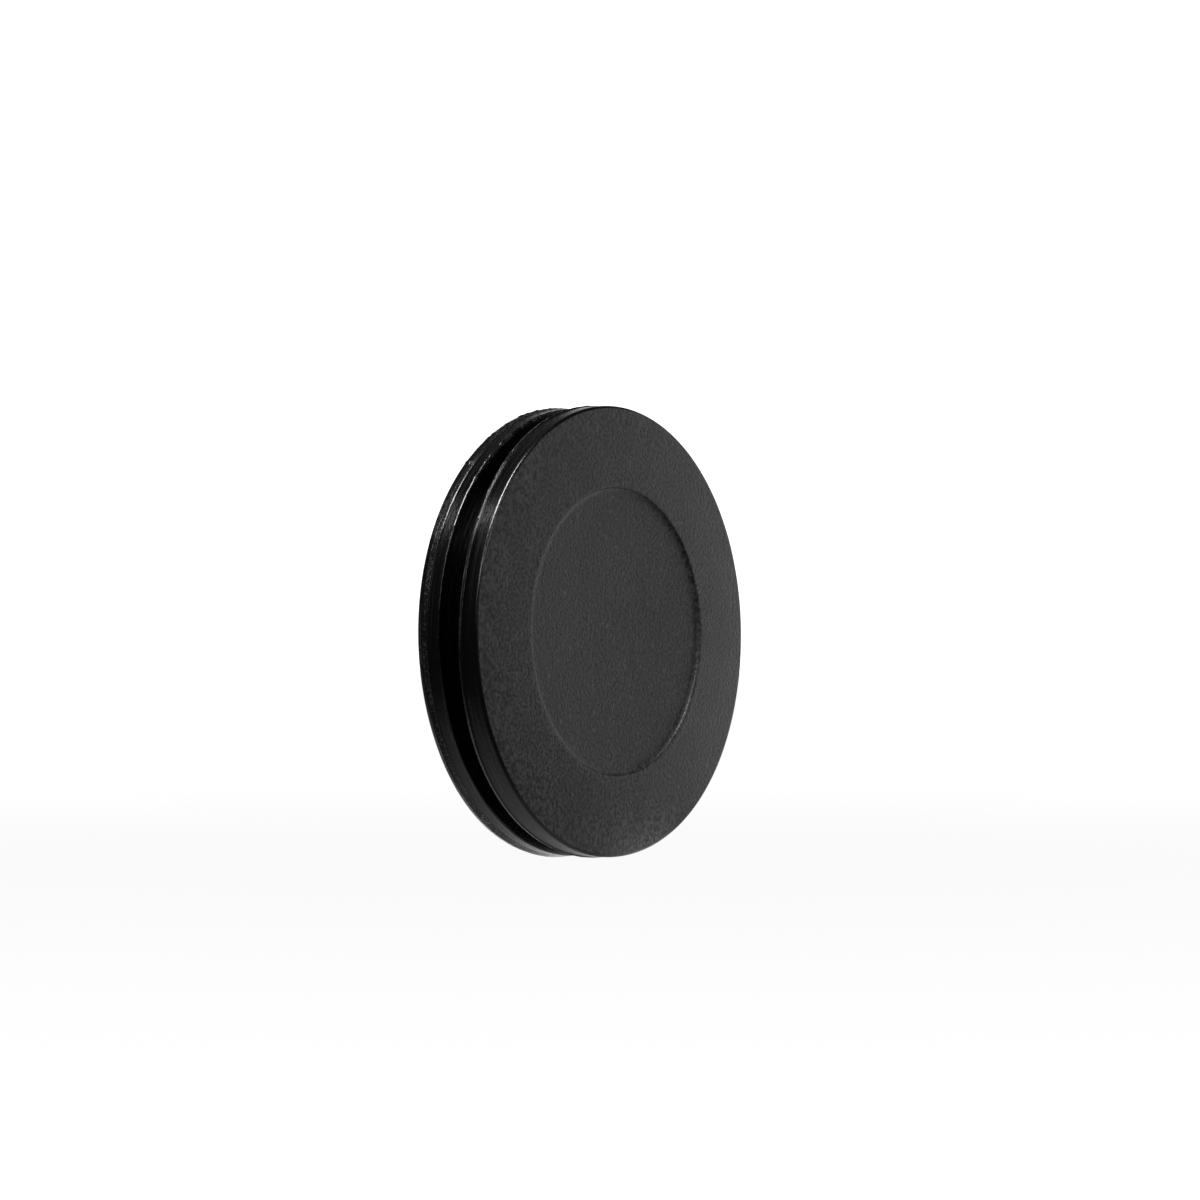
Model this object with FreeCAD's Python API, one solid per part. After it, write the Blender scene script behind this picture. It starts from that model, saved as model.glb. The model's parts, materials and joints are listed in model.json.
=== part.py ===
import FreeCAD, Part
import math
import os

# A closed rubber grommet for a round hole in thin sheet. A soft ring snaps into the hole: the sheet's edge
# sits in the groove between its two flanges. A thin membrane blanks the ring until a cable goes through.
#
# Millimetres. The grommet's axis is Y, its visible face looks towards -Y, and +Z is up. The origin is on
# the axis, in the plane where the front flange's back lies on the sheet's visible surface.

# Driving dimensions
HOLE_DIAMETER = 30.0
SHEET_THICKNESS = 2.0
FLANGE_DIAMETER = 38.0
FRONT_FLANGE_THICKNESS = 1.9
FACE_TAPER = 0.3
REAR_FLANGE_THICKNESS = 2.1
MEMBRANE_DIAMETER = 24.0
MEMBRANE_RECESS = 0.3
MEMBRANE_DISH = 0.2
RELIEF_DRAFT_DEGREES = 3.0

# Rounds that the mould leaves on the edges
FACE_EDGE_ROUND = 0.3
REAR_EDGE_ROUND = 0.5
GROOVE_EDGE_ROUND = 0.12
GROOVE_FLOOR_ROUND = 0.3
RECESS_EDGE_ROUND = 0.1
RELIEF_EDGE_ROUND = 0.3

# Worked out from the dimensions above
FLANGE_RADIUS = FLANGE_DIAMETER / 2
NECK_RADIUS = HOLE_DIAMETER / 2
MEMBRANE_RADIUS = MEMBRANE_DIAMETER / 2
FACE_EDGE_Y = -FRONT_FLANGE_THICKNESS
FACE_Y = FACE_EDGE_Y - FACE_TAPER
GROOVE_FRONT_Y = 0.0
GROOVE_REAR_Y = SHEET_THICKNESS
REAR_Y = SHEET_THICKNESS + REAR_FLANGE_THICKNESS
MEMBRANE_FRONT_Y = FACE_Y + MEMBRANE_RECESS
MEMBRANE_BACK_Y = GROOVE_FRONT_Y
RELIEF_DEPTH = REAR_Y - MEMBRANE_BACK_Y
RELIEF_MOUTH_RADIUS = MEMBRANE_RADIUS + RELIEF_DEPTH * math.tan(math.radians(RELIEF_DRAFT_DEGREES))

ORIGIN = FreeCAD.Vector(0, 0, 0)
AXIS = FreeCAD.Vector(0, 1, 0)


def on_section(radius, y):
    """A point of a half section, which lies in the XY plane."""
    return FreeCAD.Vector(radius, y, 0)


def round_corner(before, corner, after, size):
    """The tangent arc of radius size at a corner between two straight edges."""
    back = (before - corner).normalize()
    ahead = (after - corner).normalize()
    half_angle = back.getAngle(ahead) / 2
    start = corner + back * (size / math.tan(half_angle))
    end = corner + ahead * (size / math.tan(half_angle))
    bisector = (back + ahead).normalize()
    middle = corner + bisector * (size / math.sin(half_angle) - size)
    return Part.Arc(start, middle, end)


def rounded_section(corners):
    """A closed face from (radius, y, round) corners, each rounded where its round is not zero."""
    points = [on_section(radius, y) for radius, y, _ in corners]
    stretches = []
    for i, (_, _, size) in enumerate(corners):
        if size:
            arc = round_corner(points[i - 1], points[i], points[(i + 1) % len(points)], size)
            stretches.append((arc.StartPoint, arc.EndPoint, arc.toShape()))
        else:
            stretches.append((points[i], points[i], None))
    edges = []
    for i, (_, leaves, arc_edge) in enumerate(stretches):
        if arc_edge:
            edges.append(arc_edge)
        arrives = stretches[(i + 1) % len(stretches)][0]
        edges.append(Part.LineSegment(leaves, arrives).toShape())
    return Part.Face(Part.Wire(edges))


def turned(face):
    """The solid that a half section sweeps round the grommet's axis."""
    solid = face.revolve(ORIGIN, AXIS, 360)
    if solid.Volume < 0:
        solid.reverse()
    return solid


def grommet_ring():
    """The two flanges, the neck between them, and the tapered relief behind the membrane.

    The front flange is thickest beside the membrane, and its face falls away towards its edge.
    """
    return turned(
        rounded_section(
            [
                (MEMBRANE_RADIUS, FACE_Y, RECESS_EDGE_ROUND),
                (FLANGE_RADIUS, FACE_EDGE_Y, FACE_EDGE_ROUND),
                (FLANGE_RADIUS, GROOVE_FRONT_Y, GROOVE_EDGE_ROUND),
                (NECK_RADIUS, GROOVE_FRONT_Y, GROOVE_FLOOR_ROUND),
                (NECK_RADIUS, GROOVE_REAR_Y, GROOVE_FLOOR_ROUND),
                (FLANGE_RADIUS, GROOVE_REAR_Y, GROOVE_EDGE_ROUND),
                (FLANGE_RADIUS, REAR_Y, REAR_EDGE_ROUND),
                (RELIEF_MOUTH_RADIUS, REAR_Y, RELIEF_EDGE_ROUND),
                (MEMBRANE_RADIUS, MEMBRANE_BACK_Y, 0),
            ]
        )
    )


def blanking_membrane():
    """The disc inside the front flange, with a flat back level with the flange's and a dished front."""
    dish_radius = (MEMBRANE_RADIUS**2 + MEMBRANE_DISH**2) / (2 * MEMBRANE_DISH)
    middle_y = MEMBRANE_FRONT_Y + MEMBRANE_DISH
    half_way = MEMBRANE_RADIUS / 2
    half_way_y = middle_y - dish_radius + math.sqrt(dish_radius**2 - half_way**2)
    front_middle = on_section(0, middle_y)
    front_edge = on_section(MEMBRANE_RADIUS, MEMBRANE_FRONT_Y)
    back_edge = on_section(MEMBRANE_RADIUS, MEMBRANE_BACK_Y)
    back_middle = on_section(0, MEMBRANE_BACK_Y)
    edges = [
        Part.Arc(front_middle, on_section(half_way, half_way_y), front_edge).toShape(),
        Part.LineSegment(front_edge, back_edge).toShape(),
        Part.LineSegment(back_edge, back_middle).toShape(),
        Part.LineSegment(back_middle, front_middle).toShape(),
    ]
    return turned(Part.Face(Part.Wire(edges)))


NODES = {
    "grommet_ring": grommet_ring,
    "blanking_membrane": blanking_membrane,
}


def main():
    os.makedirs("parts", exist_ok=True)
    for name, make in NODES.items():
        shape = make()
        shape.exportStep(f"parts/{name}.step")
        box = shape.optimalBoundingBox()
        print(
            f"{name}: valid {shape.isValid()}, {shape.Volume:.1f} mm3, "
            f"{box.XLength:.2f} x {box.YLength:.2f} x {box.ZLength:.2f} mm"
        )


main()
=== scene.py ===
import json
import math

import bmesh
import bpy
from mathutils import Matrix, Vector, noise


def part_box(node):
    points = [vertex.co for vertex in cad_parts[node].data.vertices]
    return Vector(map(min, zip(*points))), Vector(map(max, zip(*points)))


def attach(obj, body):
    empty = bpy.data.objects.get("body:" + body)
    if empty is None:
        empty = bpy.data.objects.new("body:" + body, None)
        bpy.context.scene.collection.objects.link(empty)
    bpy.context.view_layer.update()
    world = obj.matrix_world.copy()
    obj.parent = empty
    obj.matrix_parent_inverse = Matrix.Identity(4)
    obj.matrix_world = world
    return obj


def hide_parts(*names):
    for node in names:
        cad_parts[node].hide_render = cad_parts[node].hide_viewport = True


# A closed rubber grommet standing on its rim: the moulded ring and the membrane that blanks it.
# The grommet's axis is Y and its visible face looks towards -Y. Angles round the axis run from +X towards +Z.

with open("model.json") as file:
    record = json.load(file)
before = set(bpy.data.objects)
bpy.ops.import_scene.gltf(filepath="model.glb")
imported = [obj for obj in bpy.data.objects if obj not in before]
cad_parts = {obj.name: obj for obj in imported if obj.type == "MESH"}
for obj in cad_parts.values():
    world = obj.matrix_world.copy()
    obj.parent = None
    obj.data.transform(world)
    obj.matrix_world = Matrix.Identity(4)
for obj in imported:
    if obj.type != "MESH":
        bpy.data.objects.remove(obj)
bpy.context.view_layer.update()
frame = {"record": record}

MM = 0.001
TAU = 2 * math.pi


# ---------------------------------------------------------------- sizes from the frame

ring_low, ring_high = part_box("grommet_ring")
membrane_low, membrane_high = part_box("blanking_membrane")
mounts = {mount["name"]: mount for mount in frame["record"]["mounts"]}
groove = mounts["panel_groove"]

FLANGE_RADIUS = ring_high.x
FACE_Y = ring_low.y
REAR_Y = ring_high.y
GROOVE_FRONT_Y = groove["pos_m"][1]
GROOVE_REAR_Y = GROOVE_FRONT_Y + groove["dims"]["length_mm"] * MM
NECK_RADIUS = groove["dims"]["r_mm"] * MM
MEMBRANE_RADIUS = membrane_high.x
MEMBRANE_FRONT_Y = membrane_low.y
MEMBRANE_BACK_Y = membrane_high.y
RELIEF_FLARE = 0.21 * MM
RELIEF_MOUTH_RADIUS = MEMBRANE_RADIUS + RELIEF_FLARE

FACE_TAPER = 0.3 * MM
FACE_EDGE_Y = FACE_Y + FACE_TAPER

# The mould left thin fins of rubber where its halves met: one at the back edge of each flange. They reach
# almost to the CAD's outline, and the flanges' own rims lie a little inside it.
FRONT_RIM_RADIUS = FLANGE_RADIUS - 0.16 * MM
FRONT_FIN = 0.12 * MM
REAR_RIM_RADIUS = FLANGE_RADIUS - 0.24 * MM
REAR_FIN = 0.18 * MM
FRONT_FIN_ROOT_Y = GROOVE_FRONT_Y - 0.3 * MM
FRONT_FIN_TIP_Y = GROOVE_FRONT_Y - 0.25 * MM
REAR_GULLY_Y = REAR_Y - 1.06 * MM
REAR_FIN_ROOT_Y = REAR_Y - 0.94 * MM
REAR_FIN_TIP_Y = REAR_Y - 0.4 * MM
GULLY_DEPTH = 0.05 * MM
FRONT_LIP_RADIUS = FRONT_RIM_RADIUS + 0.1 * FRONT_FIN
REAR_EDGE_RADIUS = REAR_RIM_RADIUS + 0.5 * REAR_FIN


# ---------------------------------------------------------------- camera

CAMERA_AZIMUTH = math.radians(-53.9)
CAMERA_ELEVATION = math.radians(-0.93)
CAMERA_DISTANCE = 16.0 * FLANGE_RADIUS
CAMERA_LENS_MM = 109.4
FACE_RIGHT_OF_CENTRE = 0.0705 * FLANGE_RADIUS
FACE_BELOW_CENTRE = 0.139 * FLANGE_RADIUS

camera_right = Vector((math.cos(CAMERA_AZIMUTH), math.sin(CAMERA_AZIMUTH), 0))
camera_ahead = Vector(
    (
        -math.sin(CAMERA_AZIMUTH) * math.cos(CAMERA_ELEVATION),
        math.cos(CAMERA_AZIMUTH) * math.cos(CAMERA_ELEVATION),
        -math.sin(CAMERA_ELEVATION),
    )
)
camera_up = camera_right.cross(camera_ahead)


def make_camera():
    data = bpy.data.cameras.new("camera")
    data.lens = CAMERA_LENS_MM
    data.clip_start = 0.01
    data.clip_end = 20
    camera = bpy.data.objects.new("camera", data)
    bpy.context.scene.collection.objects.link(camera)
    face_centre = Vector((0, FACE_EDGE_Y, 0))
    camera.location = (
        face_centre
        - camera_right * FACE_RIGHT_OF_CENTRE
        + camera_up * FACE_BELOW_CENTRE
        - camera_ahead * CAMERA_DISTANCE
    )
    camera.rotation_mode = "QUATERNION"
    camera.rotation_quaternion = camera_ahead.to_track_quat("-Z", "Y")
    bpy.context.scene.camera = camera


# ---------------------------------------------------------------- shader helpers


def add_node(tree, kind, settings=None, **inputs):
    """A node with its settings, and its inputs set by value or linked from another node's output."""
    node = tree.nodes.new(kind)
    for key, value in (settings or {}).items():
        setattr(node, key, value)
    for key, value in inputs.items():
        socket = node.inputs[int(key[1:])] if key[0] == "i" and key[1:].isdigit() else node.inputs[key]
        if isinstance(value, bpy.types.NodeSocket):
            tree.links.new(value, socket)
        else:
            socket.default_value = value
    return node


def math_node(tree, operation, *values):
    inputs = {f"i{k}": value for k, value in enumerate(values)}
    return add_node(tree, "ShaderNodeMath", {"operation": operation}, **inputs).outputs[0]


def map_range(tree, value, low, high, to_low, to_high, smooth=False):
    settings = {"clamp": True, "interpolation_type": "SMOOTHSTEP" if smooth else "LINEAR"}
    inputs = {"i0": value, "i1": low, "i2": high, "i3": to_low, "i4": to_high}
    return add_node(tree, "ShaderNodeMapRange", settings, **inputs).outputs[0]


def grey(level):
    return (level, level, level, 1)


def fresh_tree(owner):
    owner.use_nodes = True
    owner.node_tree.nodes.clear()
    return owner.node_tree


# ---------------------------------------------------------------- stage and light

# How bright the studio's background is behind the grommet, at its right and elsewhere, and the share that is
# left of the first two high up.
BEHIND_GLOW = 1.4
RIGHT_GLOW = 0.1
LEAST_GLOW = 0.02
HIGH_SHARE = 0.04

# The floor's own glow next to the grommet: in front of it, beside it, what is added behind it, and the share
# that is left at its right.
FRONT_FLOOR_GLOW = 0.05
SIDE_FLOOR_GLOW = 0.32
REAR_FLOOR_GLOW = 1.3
RIGHT_FLOOR_SHARE = 0.1

# Each light's direction from the grommet (to the camera's right, up and ahead), its distance and width in
# metres, its watts, and whether it gives diffuse light and highlights.
LIGHTS = {
    "rim_light": ((-0.71, 0.7, 0.02), 0.5, 0.04, 0.08, False, True),
    "edge_light": ((-0.1, 0.9, -0.42), 0.5, 0.28, 6.5, False, True),
    "fill_light": ((0.8, 0.4, -0.45), 0.6, 0.3, 0.7, True, True),
    "left_light": ((-0.75, 0.4, -0.5), 0.5, 0.3, 0.2, True, False),
    "low_edge_light": ((-0.1, 0.42, -0.85), 0.5, 0.16, 0.45, False, True),
}


def along(tree, place, vector):
    """How far a place lies, or a direction leans, along a vector."""
    node = add_node(tree, "ShaderNodeVectorMath", {"operation": "DOT_PRODUCT"}, i0=place, i1=vector)
    return node.outputs["Value"]


def glow_towards(tree, direction):
    """How bright the studio is in a direction: white low behind the grommet, dim at its right, else dark."""
    behind = map_range(tree, along(tree, direction, camera_ahead), 0.26, 0.52, 0.0, BEHIND_GLOW, smooth=True)
    right = map_range(tree, along(tree, direction, camera_right), 0.3, 0.9, 0.0, RIGHT_GLOW, smooth=True)
    height = along(tree, direction, Vector((0, 0, 1)))
    low = map_range(tree, height, 0.08, 0.5, 1.0, HIGH_SHARE, smooth=True)
    glow = math_node(tree, "MULTIPLY", math_node(tree, "MAXIMUM", behind, right), low)
    return math_node(tree, "MAXIMUM", glow, LEAST_GLOW)


def floor_glow(tree, place):
    """The floor's glow: by its place next to the grommet, and like the studio's glow farther out."""
    level = add_node(tree, "ShaderNodeVectorMath", {"operation": "NORMALIZE"}, i0=place).outputs[0]
    distance = add_node(tree, "ShaderNodeVectorMath", {"operation": "LENGTH"}, i0=place).outputs["Value"]
    ahead = along(tree, place, camera_ahead)
    right = along(tree, place, camera_right)
    far = map_range(tree, distance, 0.015, 0.06, 0.0, 1.0, smooth=True)
    beside = map_range(tree, ahead, -0.022, -0.007, FRONT_FLOOR_GLOW, SIDE_FLOOR_GLOW, smooth=True)
    behind = map_range(tree, ahead, -0.004, 0.005, 0.0, REAR_FLOOR_GLOW, smooth=True)
    left = map_range(tree, right, 0.0, 0.02, 1.0, RIGHT_FLOOR_SHARE, smooth=True)
    near_glow = math_node(tree, "MULTIPLY", math_node(tree, "ADD", beside, behind), left)
    near_glow = math_node(tree, "MULTIPLY", near_glow, math_node(tree, "SUBTRACT", 1.0, far))
    far_glow = math_node(tree, "MULTIPLY", glow_towards(tree, level), far)
    glow = math_node(tree, "ADD", far_glow, near_glow)

    # The camera itself sees a plain pale floor, with a faint painted shadow: a little greyer next to the
    # grommet.
    pale = map_range(tree, distance, 0.02, 0.2, 0.95, 1.0, smooth=True)
    seen = add_node(tree, "ShaderNodeLightPath").outputs["Is Camera Ray"]
    unseen = math_node(tree, "MULTIPLY", glow, math_node(tree, "SUBTRACT", 1.0, seen))
    return math_node(tree, "ADD", unseen, math_node(tree, "MULTIPLY", seen, pale))


def make_world():
    world = bpy.data.worlds.new("studio")
    bpy.context.scene.world = world
    tree = fresh_tree(world)
    direction = add_node(tree, "ShaderNodeTexCoord").outputs["Generated"]
    glow = glow_towards(tree, direction)
    seen = add_node(tree, "ShaderNodeLightPath").outputs["Is Camera Ray"]
    strength = math_node(tree, "MAXIMUM", glow, seen)
    background = add_node(tree, "ShaderNodeBackground", Color=(1, 1, 1, 1), Strength=strength)
    add_node(tree, "ShaderNodeOutputWorld", Surface=background.outputs[0])


def make_floor():
    bm = bmesh.new()
    bmesh.ops.create_circle(bm, cap_ends=True, segments=96, radius=4.0)
    mesh = bpy.data.meshes.new("floor")
    bm.to_mesh(mesh)
    bm.free()
    floor = bpy.data.objects.new("floor", mesh)
    floor.location.z = ring_low.z
    bpy.context.scene.collection.objects.link(floor)
    material = bpy.data.materials.new("pale_floor")
    tree = fresh_tree(material)
    place = add_node(tree, "ShaderNodeTexCoord").outputs["Object"]
    base = {"Base Color": grey(0.03), "Roughness": 0.9}
    glow = {"Emission Color": grey(1), "Emission Strength": floor_glow(tree, place)}
    shader = add_node(tree, "ShaderNodeBsdfPrincipled", **base, **glow)
    shader.inputs["Specular IOR Level"].default_value = 0.0
    add_node(tree, "ShaderNodeOutputMaterial", Surface=shader.outputs[0])
    mesh.materials.append(material)


def make_light(name, offsets, distance, size, watts, diffuse, glossy):
    """A round area light, aimed at the origin."""
    right, up, ahead = offsets
    direction = camera_right * right + camera_up * up + camera_ahead * ahead
    data = bpy.data.lights.new(name, "AREA")
    data.shape = "DISK"
    data.size = size
    data.energy = watts
    light = bpy.data.objects.new(name, data)
    light.location = direction.normalized() * distance
    light.rotation_mode = "QUATERNION"
    light.rotation_quaternion = (-light.location).to_track_quat("-Z", "Y")
    light.visible_diffuse = diffuse
    light.visible_glossy = glossy
    bpy.context.scene.collection.objects.link(light)


def make_lights():
    for name, settings in LIGHTS.items():
        make_light(name, *settings)


# ---------------------------------------------------------------- sections and turning


def corner_points(before, corner, after, size, steps):
    """Points of the tangent arc that rounds a section's corner, or the corner itself."""
    if size == 0:
        return [corner]
    back = (before - corner).normalized()
    ahead = (after - corner).normalized()
    half_angle = back.angle(ahead) / 2
    centre = corner + (back + ahead).normalized() * (size / math.sin(half_angle))
    start = corner + back * (size / math.tan(half_angle)) - centre
    end = corner + ahead * (size / math.tan(half_angle)) - centre
    return [centre + start.slerp(end, step / steps) * size for step in range(steps + 1)]


def section(corners):
    """Points (place, radius, y) round a closed section.

    Each corner is (name, radius, y, round, steps on its arc, name of the run after it, spacing on that run).
    """
    spots = [Vector((radius, y)) for _, radius, y, *_ in corners]
    arcs = [
        corner_points(spots[i - 1], spots[i], spots[(i + 1) % len(spots)], corner[3], corner[4])
        for i, corner in enumerate(corners)
    ]
    points = []
    for i, corner in enumerate(corners):
        points += [(corner[0], *spot) for spot in arcs[i]]
        start = arcs[i][-1]
        end = arcs[(i + 1) % len(arcs)][0]
        pieces = max(1, round((end - start).length / corner[6]))
        points += [(corner[5], *start.lerp(end, k / pieces)) for k in range(1, pieces)]
    return points


def ragged(angle, waves, seed):
    """Smooth noise round the axis, from -1 to 1, with about that many waves in a turn."""
    reach = waves / TAU
    return noise.noise(Vector((math.cos(angle) * reach, math.sin(angle) * reach, seed)))


def grain(radius, y, angle, size, seed):
    """Smooth noise on the surface, from -1 to 1, with features of that size."""
    spot = Vector((radius * math.cos(angle), y, radius * math.sin(angle))) / size
    return noise.noise(spot + Vector((seed, 0, 0)))


def near(value, centre, width):
    """A bump from 0 to 1 about a centre."""
    return math.exp(-(((value - centre) / width) ** 2))


def near_angle(angle, degrees, width):
    """A bump from 0 to 1 about an angle round the axis.

    The angle is in radians, and the bump's place and width are in degrees.
    """
    apart = abs(math.degrees(angle) - degrees) % 360
    return near(min(apart, 360 - apart), 0, width)


def turned_mesh(name, points, turns, shape, closed):
    """A mesh of the section turned round Y. shape(place, radius, y, angle) gives (radius, y, marks): pale
    marks, partly worn rubber and partly painted highlights and lit bands.
    """
    bm = bmesh.new()
    # This layer holds pale marks: torn flash and scuffs, and also painted highlights and painted lit bands on
    # the edges, fins and rims.
    wear_and_painted_light_layer = bm.verts.layers.float.new("wear_and_painted_light")
    columns = []
    poles = {}
    for turn in range(turns):
        angle = TAU * turn / turns
        column = []
        for k, (place, radius, y) in enumerate(points):
            if radius == 0 and k in poles:
                column.append(poles[k])
                continue
            new_radius, new_y, wear_and_painted_light = shape(place, radius, y, angle)
            if radius == 0:
                new_radius = 0
            vertex = bm.verts.new((new_radius * math.cos(angle), new_y, new_radius * math.sin(angle)))
            vertex[wear_and_painted_light_layer] = wear_and_painted_light
            if radius == 0:
                poles[k] = vertex
            column.append(vertex)
        columns.append(column)
    steps = len(points) if closed else len(points) - 1
    for turn in range(turns):
        here = columns[turn]
        there = columns[(turn + 1) % turns]
        for k in range(steps):
            after = (k + 1) % len(points)
            corners = [here[k], here[after], there[after], there[k]]
            bm.faces.new(list(dict.fromkeys(corners)))
    bmesh.ops.recalc_face_normals(bm, faces=bm.faces)
    mesh = bpy.data.meshes.new(name)
    bm.to_mesh(mesh)
    bm.free()
    mesh.shade_smooth()
    return mesh


# ---------------------------------------------------------------- the ring

TURNS = 540

# How far the skin strays from its section: the face's crown, the bead round the membrane, slow waves on the
# faces, the torn skin on the edges, ripples and slower waves on the rims, and nibs on the rear fin.
CROWN = 0.05 * MM
BEAD = 0.02 * MM
BEAD_OFFSET = 0.35 * MM
BEAD_WIDTH = 0.25 * MM
UNDULATION = 0.012 * MM
UNDULATION_SIZE = 2.6 * MM
FLASH = 0.06 * MM
RIPPLE = 0.012 * MM
RIM_WAVE = 0.03 * MM
NIB = 0.4 * MM

# Stretches round the axis, as an angle and a width in degrees
TORN = (125, 36)
# Where the rims are paler: partly real scuffs, partly painted light where the lamps fall on the upper left
# rims.
SCUFFS_AND_PAINTED_LIGHT = (116, 36)
# Where the face's edge is paler: partly worn rubber, partly a painted highlight line.
FACE_EDGE_WEAR_AND_HIGHLIGHT = (147, 17)
NIBBED = (118, 20)
TALL_FRONT_FIN = ((-115, 45), (125, 35))
LOW_REAR_FIN = (135, 28)
BEADED = ((-38, 20), (155, 14))

# Soft rubber isn't quite round. Each entry is an angle and a width in degrees, and how far the flange stands
# out there.
FRONT_SWELLS = ((-40, 30, 0.28 * MM), (-90, 20, -0.08 * MM))
REAR_SWELLS = ((118, 24, -0.12 * MM), (-130, 22, 0.1 * MM))

# The front flange's back edge leans into the groove at the lower left, and away from it at the left, where
# the flange is slightly thinner. Each entry is an angle and a width in degrees, and how far it leans.
LEAN = ((-132, 34, 0.45 * MM), (172, 28, -0.16 * MM))

RING_SECTION = section(
    [
        ("recess_edge", MEMBRANE_RADIUS, FACE_Y, 0.08 * MM, 4, "face", 0.18 * MM),
        ("face_edge", FRONT_RIM_RADIUS, FACE_EDGE_Y, 0.24 * MM, 8, "front_rim", 0.13 * MM),
        ("front_root", FRONT_RIM_RADIUS, FRONT_FIN_ROOT_Y, 0.04 * MM, 3, "front_fin", 0.05 * MM),
        ("front_tip", FRONT_RIM_RADIUS + FRONT_FIN, FRONT_FIN_TIP_Y, 0.04 * MM, 3, "front_bevel", 0.05 * MM),
        ("front_lip", FRONT_LIP_RADIUS, GROOVE_FRONT_Y, 0.05 * MM, 3, "groove_front", 0.4 * MM),
        ("neck_corner", NECK_RADIUS, GROOVE_FRONT_Y, 0.3 * MM, 4, "neck", 0.35 * MM),
        ("neck_corner", NECK_RADIUS, GROOVE_REAR_Y, 0.3 * MM, 4, "groove_rear", 0.4 * MM),
        ("rear_lip", REAR_RIM_RADIUS, GROOVE_REAR_Y, 0.12 * MM, 6, "rear_rim", 0.13 * MM),
        ("rear_gully", REAR_RIM_RADIUS, REAR_GULLY_Y, 0.03 * MM, 2, "rear_gully", 0.06 * MM),
        ("rear_root", REAR_RIM_RADIUS - GULLY_DEPTH, REAR_FIN_ROOT_Y, 0.04 * MM, 3, "rear_fin", 0.09 * MM),
        ("rear_tip", REAR_RIM_RADIUS + REAR_FIN, REAR_FIN_TIP_Y, 0.05 * MM, 3, "rear_bevel", 0.06 * MM),
        ("rear_edge", REAR_EDGE_RADIUS, REAR_Y, 0.06 * MM, 4, "rear_face", 0.4 * MM),
        ("relief_edge", RELIEF_MOUTH_RADIUS, REAR_Y, 0.3 * MM, 5, "relief", 0.3 * MM),
        ("relief_foot", MEMBRANE_RADIUS, MEMBRANE_BACK_Y, 0, 1, "seat", 0.4 * MM),
    ]
)

FACE_PLACES = ("recess_edge", "face", "face_edge")
FRONT_FIN_PLACES = ("front_root", "front_fin", "front_tip", "front_bevel", "front_lip")
REAR_FIN_PLACES = ("rear_root", "rear_fin", "rear_tip", "rear_bevel", "rear_edge")
MATTE_PLACES = ("face", "recess_edge", "rear_face", "relief_edge")


def total(bumps, angle):
    """The sum of bumps round the axis, at an angle."""
    return sum(height * near_angle(angle, degrees, width) for degrees, width, height in bumps)


def tallest(stretches, angle):
    """How far an angle is inside one of several stretches, from 0 to 1."""
    return max(near_angle(angle, *stretch) for stretch in stretches)


def tear(angle, seed):
    """The torn skin of rubber at a flange's edge, from 0 to about 2: broken, and worst at the upper left."""
    fine = max(0.0, ragged(angle, 230, seed) + 0.2)
    coarse = 0.5 + 0.5 * ragged(angle, 24, seed + 7)
    return fine * (0.9 * coarse + 1.3 * near_angle(angle, *TORN))


def coarse_fin(angle, seed):
    """How far a fin stands out, as a share of its full height, from about 0.4 to 1."""
    return 0.7 + 0.3 * ragged(angle, 14, seed)


def nibs(angle, seed):
    """Torn nibs on the rear fin at the upper left, from 0 to about 0.9."""
    return max(0.0, ragged(angle, 330, seed) - 0.05) * near_angle(angle, *NIBBED)


def face_y(radius, y, angle):
    """The front face, crowned and slightly wavy, with a bead beside the membrane, tallest in two stretches."""
    share = (radius - MEMBRANE_RADIUS) / (FRONT_RIM_RADIUS - MEMBRANE_RADIUS)
    y -= 4 * CROWN * share * (1 - share)
    y += UNDULATION * (1 + grain(radius, y, angle, UNDULATION_SIZE, 3.0))
    bead = 0.15 + 0.85 * tallest(BEADED, angle)
    return y + BEAD * (1 - bead * near(radius, MEMBRANE_RADIUS + BEAD_OFFSET, BEAD_WIDTH))


def front_fin(radius, angle):
    """The front fin's new radius and its pale marks, partly torn flash and partly a painted highlight line:
    tall at the lower and upper left, and torn along its tip.
    """
    share = max(0.0, (radius - FRONT_RIM_RADIUS) / FRONT_FIN)
    torn = tear(angle, 11.0)
    height = coarse_fin(angle, 13.0) * (0.4 + 0.6 * tallest(TALL_FRONT_FIN, angle))
    radius += share * (FLASH * torn + FRONT_FIN * (height - 1))
    return radius, min(1.0, torn) * share * (0.4 + 0.6 * height)


def rear_fin(radius, angle):
    """The rear fin's new radius: low and nibbed at the upper left."""
    share = max(0.0, (radius - REAR_RIM_RADIUS) / REAR_FIN)
    low = 0.8 * near_angle(angle, *LOW_REAR_FIN) + 0.35 * (1 - coarse_fin(angle, 17.0))
    radius += share * (0.4 * FLASH * tear(angle, 37.0) - min(0.9, low) * REAR_FIN)
    return radius + min(1.0, share) * NIB * nibs(angle, 47.0)


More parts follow.
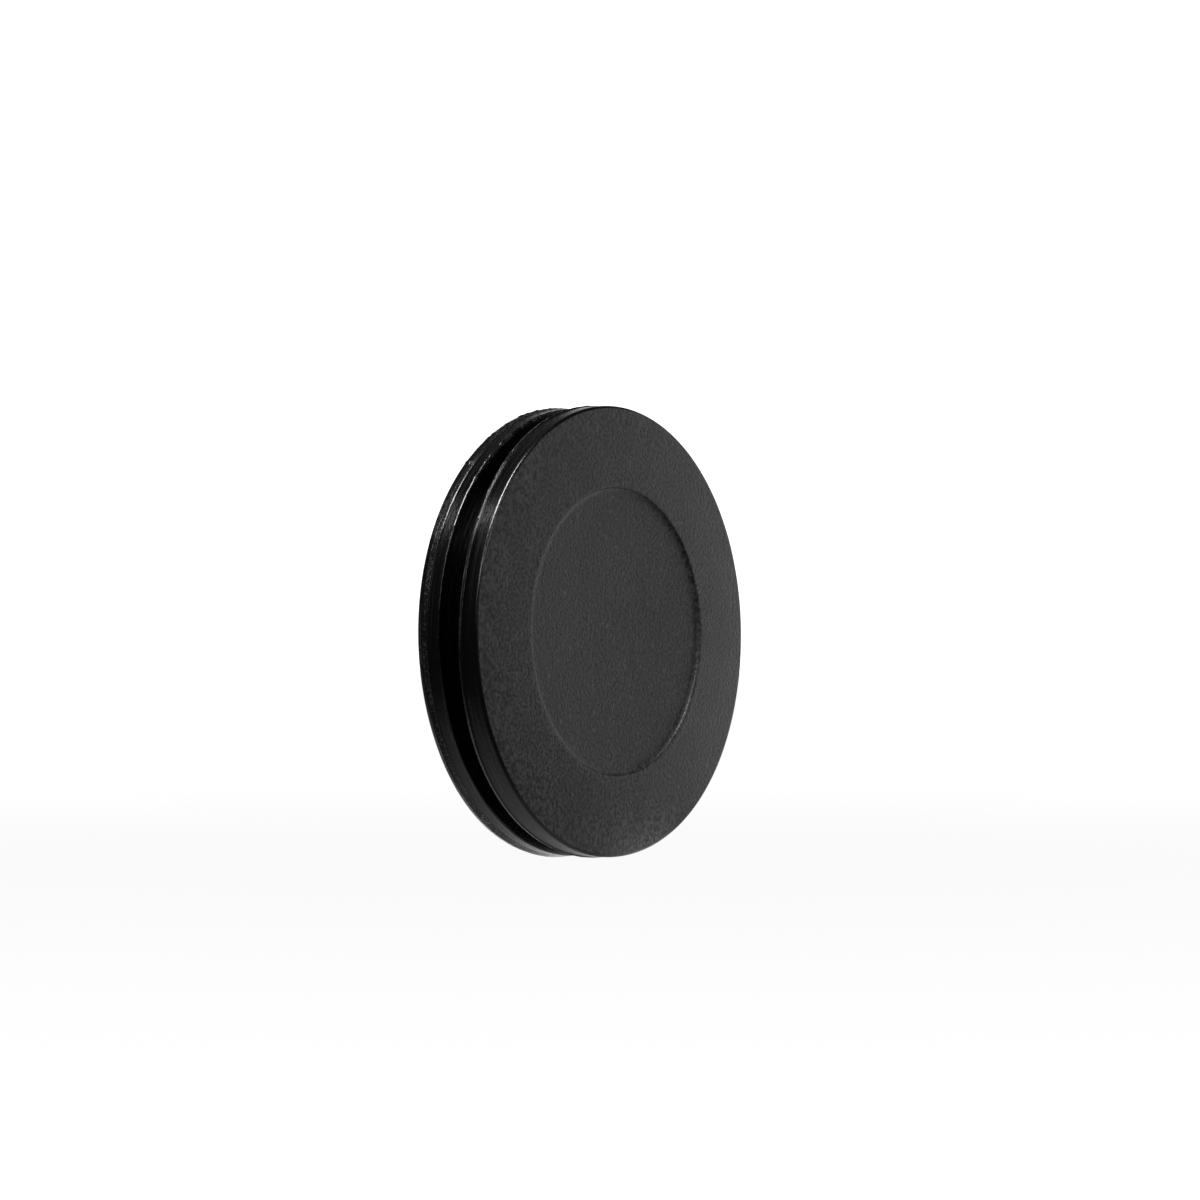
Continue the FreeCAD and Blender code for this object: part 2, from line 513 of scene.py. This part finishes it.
def ring_shape(place, radius, y, angle):
    """The ring's uneven skin: out of round, crowned at the front, with ragged fins."""
    wear_and_painted_light = 0.0
    out = max(0.0, (radius - NECK_RADIUS) / (FLANGE_RADIUS - NECK_RADIUS))
    if place in FACE_PLACES:
        y = face_y(radius, y, angle)
    # The face's edge is painted paler at the upper left: partly worn rubber, partly a painted highlight line.
    if place == "face_edge":
        wear_and_painted_light = 0.3 * near_angle(angle, *FACE_EDGE_WEAR_AND_HIGHLIGHT) * (0.6 + 0.4 * ragged(angle, 60, 41.0))
    if place in FRONT_FIN_PLACES:
        radius, wear_and_painted_light = front_fin(radius, angle)
    # The rims are painted paler at the upper left: partly scuffs, partly painted light.
    if place in ("front_rim", "rear_rim"):
        wear_and_painted_light = 0.5 * near_angle(angle, *SCUFFS_AND_PAINTED_LIGHT)
    if place in ("front_rim", "groove_front") + FRONT_FIN_PLACES:
        share = (y - FACE_EDGE_Y) / (GROOVE_FRONT_Y - FACE_EDGE_Y)
        y += total(LEAN, angle) * min(1.0, max(0.0, share)) * out
    # The rear lip's torn flash is painted pale: partly flash, partly painted highlights in bright dots.
    if place == "rear_lip":
        torn = tear(angle, 23.0)
        radius += FLASH * torn
        wear_and_painted_light = min(1.0, torn)
    if place in REAR_FIN_PLACES:
        radius = rear_fin(radius, angle)
    # The rear fin's slope is painted pale all round: a painted light band for its lit side.
    if place == "rear_fin":
        wear_and_painted_light = 0.75 + 0.4 * ragged(angle, 40, 43.0)
    if place == "rear_face":
        y -= UNDULATION * (1 + grain(radius, y, angle, UNDULATION_SIZE, 9.0))
    swells = FRONT_SWELLS if y < 0.5 * (GROOVE_FRONT_Y + GROOVE_REAR_Y) else REAR_SWELLS
    radius += out * total(swells, angle)
    radius += RIM_WAVE * out * ragged(angle, 5, 2.0)
    if place in ("front_rim", "rear_rim"):
        radius -= RIPPLE * (1 + ragged(angle, 70, 5.0 if place == "front_rim" else 8.0))
    return radius, y, wear_and_painted_light


# ---------------------------------------------------------------- the membrane

DISH = 0.2 * MM
MEMBRANE_WAVE_SIZE = 3.2 * MM
FILLET_WIDTH = 0.5 * MM
FILLET_HEIGHT = 0.24 * MM
BACK_CORNER = 0.4 * MM
MEMBRANE_RINGS = 48
FILLET_STEPS = 5
BACK_CORNER_STEPS = 6


def membrane_points():
    """The membrane's open section, from the middle of its front round its rim to the middle of its back."""
    foot = MEMBRANE_RADIUS - FILLET_WIDTH
    points = [("front", foot * k / MEMBRANE_RINGS, MEMBRANE_FRONT_Y) for k in range(MEMBRANE_RINGS)]
    for k in range(FILLET_STEPS + 1):
        turn = math.radians(90 * k / FILLET_STEPS)
        rise = FILLET_HEIGHT * (1 - math.cos(turn))
        points.append(("front_corner", foot + FILLET_WIDTH * math.sin(turn), MEMBRANE_FRONT_Y - rise))
    back_foot = MEMBRANE_RADIUS - BACK_CORNER
    for k in range(BACK_CORNER_STEPS + 1):
        turn = math.radians(90 - 90 * k / BACK_CORNER_STEPS)
        drop = BACK_CORNER * (1 - math.cos(turn))
        points.append(("back_corner", back_foot + BACK_CORNER * math.sin(turn), MEMBRANE_BACK_Y + drop))
    for k in range(1, MEMBRANE_RINGS + 1):
        points.append(("back", back_foot * (1 - k / MEMBRANE_RINGS), MEMBRANE_BACK_Y))
    return points


def membrane_shape(place, radius, y, angle):
    """The membrane's front, dished and slightly wavy."""
    if place in ("front", "front_corner"):
        share = radius / MEMBRANE_RADIUS
        y += DISH * (1 - share**2)
        y += UNDULATION * (1 - share**6) * grain(radius, y, angle, MEMBRANE_WAVE_SIZE, 31.0)
    return radius, y, 0.0


# ---------------------------------------------------------------- materials


def surface_noise(tree, coordinates, size, detail, roughness=0.55):
    inputs = {"Vector": coordinates, "Scale": 1 / size, "Detail": detail, "Roughness": roughness}
    return add_node(tree, "ShaderNodeTexNoise", **inputs).outputs[0]


def speck_mask(tree, coordinates, spacing, size, share):
    """Round specks of a size, about one to each cell of a spacing, in that share of the cells."""
    cells = add_node(tree, "ShaderNodeTexVoronoi", Vector=coordinates, Scale=1 / spacing)
    spot = map_range(tree, cells.outputs["Distance"], 0.3 * size / spacing, 0.6 * size / spacing, 1.0, 0.0)
    chance = add_node(tree, "ShaderNodeSeparateColor", i0=cells.outputs["Color"]).outputs[0]
    chosen = math_node(tree, "LESS_THAN", chance, share)
    strength = add_node(tree, "ShaderNodeSeparateColor", i0=cells.outputs["Color"]).outputs[1]
    return math_node(tree, "MULTIPLY", math_node(tree, "MULTIPLY", spot, chosen), strength)


def circular_coordinates(tree, coordinates, pitch, arc_pitch):
    """Coordinates for streaks that run round the axis, with no seam: (vector, fourth coordinate)."""
    parts = add_node(tree, "ShaderNodeSeparateXYZ", i0=coordinates).outputs
    flat = add_node(tree, "ShaderNodeCombineXYZ", X=parts[0], Z=parts[2]).outputs[0]
    radius = add_node(tree, "ShaderNodeVectorMath", {"operation": "LENGTH"}, i0=flat).outputs["Value"]
    vector = add_node(
        tree,
        "ShaderNodeCombineXYZ",
        X=math_node(tree, "DIVIDE", radius, pitch),
        Y=math_node(tree, "DIVIDE", parts[1], pitch),
        Z=math_node(tree, "DIVIDE", parts[0], arc_pitch),
    ).outputs[0]
    return vector, math_node(tree, "DIVIDE", parts[2], arc_pitch)


def streaks(tree, coordinates, pitch, arc_pitch):
    vector, fourth = circular_coordinates(tree, coordinates, pitch, arc_pitch)
    settings = {"noise_dimensions": "4D"}
    node = add_node(tree, "ShaderNodeTexNoise", settings, Vector=vector, W=fourth, Scale=1.0, Detail=2.0)
    return node.outputs[0]


def mix_colour(tree, share, first, second):
    node = add_node(tree, "ShaderNodeMix", {"data_type": "RGBA"}, i0=share, i6=first, i7=second)
    return node.outputs[2]


def finish_rubber(tree, colour, roughness, bump):
    sockets = {"Base Color": colour, "Roughness": roughness, "Normal": bump.outputs[0]}
    shader = add_node(tree, "ShaderNodeBsdfPrincipled", **sockets)
    add_node(tree, "ShaderNodeOutputMaterial", Surface=shader.outputs[0])


def face_rubber(name, dark, light):
    """Matte moulded rubber: finely pitted, mottled, with pale specks of filler and dust."""
    material = bpy.data.materials.new(name)
    tree = fresh_tree(material)
    place = add_node(tree, "ShaderNodeTexCoord").outputs["Object"]
    grains = surface_noise(tree, place, 0.3 * MM, 2.0, 0.5)
    mottle = map_range(tree, grains, 0.39, 0.63, 0.0, 1.0)
    patches = map_range(tree, surface_noise(tree, place, 4.5 * MM, 2.0), 0.3, 0.7, 0.0, 1.0)
    colour = mix_colour(tree, mottle, grey(dark), grey(light))
    colour = mix_colour(tree, math_node(tree, "MULTIPLY", patches, 0.45), colour, grey(dark))
    specks = map_range(tree, surface_noise(tree, place, 0.5 * MM, 1.0), 0.68, 0.78, 0.0, 0.75)
    colour = mix_colour(tree, specks, colour, grey(0.12))
    dust = speck_mask(tree, place, 0.6 * MM, 0.2 * MM, 0.35)
    colour = mix_colour(tree, math_node(tree, "MULTIPLY", dust, 0.7), colour, grey(0.15))
    lumps = speck_mask(tree, place, 1.6 * MM, 0.45 * MM, 0.65)
    colour = mix_colour(tree, math_node(tree, "MULTIPLY", lumps, 0.7), colour, grey(0.12))
    pits = surface_noise(tree, place, 0.3 * MM, 2.0, 0.6)
    bump = add_node(tree, "ShaderNodeBump", Strength=1.0, Distance=0.05 * MM, Height=pits)
    roughness = map_range(tree, mottle, 0.0, 1.0, 0.42, 0.56)
    finish_rubber(tree, colour, roughness, bump)
    return material


def rim_rubber(name):
    """Smoother rubber on the rims and in the groove, with streaks round the axis and pale torn flash; the pale
    marks are partly painted highlights and lit bands.
    """
    material = bpy.data.materials.new(name)
    tree = fresh_tree(material)
    place = add_node(tree, "ShaderNodeTexCoord").outputs["Object"]
    fine = streaks(tree, place, 0.09 * MM, 7.0 * MM)
    broad = streaks(tree, place, 0.35 * MM, 12.0 * MM)
    mottle = surface_noise(tree, place, 0.3 * MM, 3.0)
    wear_and_painted_light = add_node(tree, "ShaderNodeAttribute", {"attribute_name": "wear_and_painted_light"}).outputs["Fac"]
    colour = mix_colour(tree, map_range(tree, fine, 0.35, 0.7, 0.0, 1.0), grey(0.004), grey(0.011))
    # Pale crumbs and paler scuffs: random torn flash and scuffs, and painted highlights and lit bands where
    # the mesh's marks are strong.
    crumbs_and_painted_glints = surface_noise(tree, place, 0.22 * MM, 2.0)
    crumbs_and_painted_glints = math_node(tree, "ADD", crumbs_and_painted_glints, math_node(tree, "MULTIPLY", wear_and_painted_light, 0.34))
    scuffs_and_painted_shine = math_node(tree, "ADD", fine, math_node(tree, "MULTIPLY", wear_and_painted_light, 0.2))
    colour = mix_colour(tree, map_range(tree, scuffs_and_painted_shine, 0.62, 0.74, 0.0, 0.8), colour, grey(0.09))
    torn = map_range(tree, crumbs_and_painted_glints, 0.78, 0.9, 0.0, 0.9)
    colour = mix_colour(tree, torn, colour, grey(0.22))
    roughness = map_range(tree, broad, 0.3, 0.7, 0.16, 0.3)
    mottle_height = math_node(tree, "MULTIPLY", mottle, 0.4)
    height = math_node(tree, "ADD", math_node(tree, "MULTIPLY", fine, 0.6), mottle_height)
    bump = add_node(tree, "ShaderNodeBump", Strength=1.0, Distance=0.045 * MM, Height=height)
    finish_rubber(tree, colour, roughness, bump)
    return material


# ---------------------------------------------------------------- the pieces


def add_piece(name, mesh, node):
    piece = bpy.data.objects.new(name, mesh)
    bpy.context.scene.collection.objects.link(piece)
    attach(piece, "root")
    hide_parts(node)


def make_ring(face_material, rim_material):
    mesh = turned_mesh("ring", RING_SECTION, TURNS, ring_shape, closed=True)
    mesh.materials.append(face_material)
    mesh.materials.append(rim_material)
    matte = [place in MATTE_PLACES for place, _, _ in RING_SECTION]
    for polygon in mesh.polygons:
        polygon.material_index = 0 if matte[polygon.index % len(RING_SECTION)] else 1
    add_piece("ring", mesh, "grommet_ring")


def make_membrane(face_material):
    mesh = turned_mesh("membrane", membrane_points(), TURNS, membrane_shape, closed=False)
    mesh.materials.append(face_material)
    add_piece("membrane", mesh, "blanking_membrane")


make_camera()
make_world()
make_floor()
make_lights()
bpy.context.scene.view_settings.view_transform = "Standard"
make_ring(face_rubber("ring_face", 0.004, 0.09), rim_rubber("ring_rim"))
# The membrane's face rubber is a darker copy of the ring's, though both are one rubber: painted shade.
make_membrane(face_rubber("membrane_face", 0.004, 0.072))
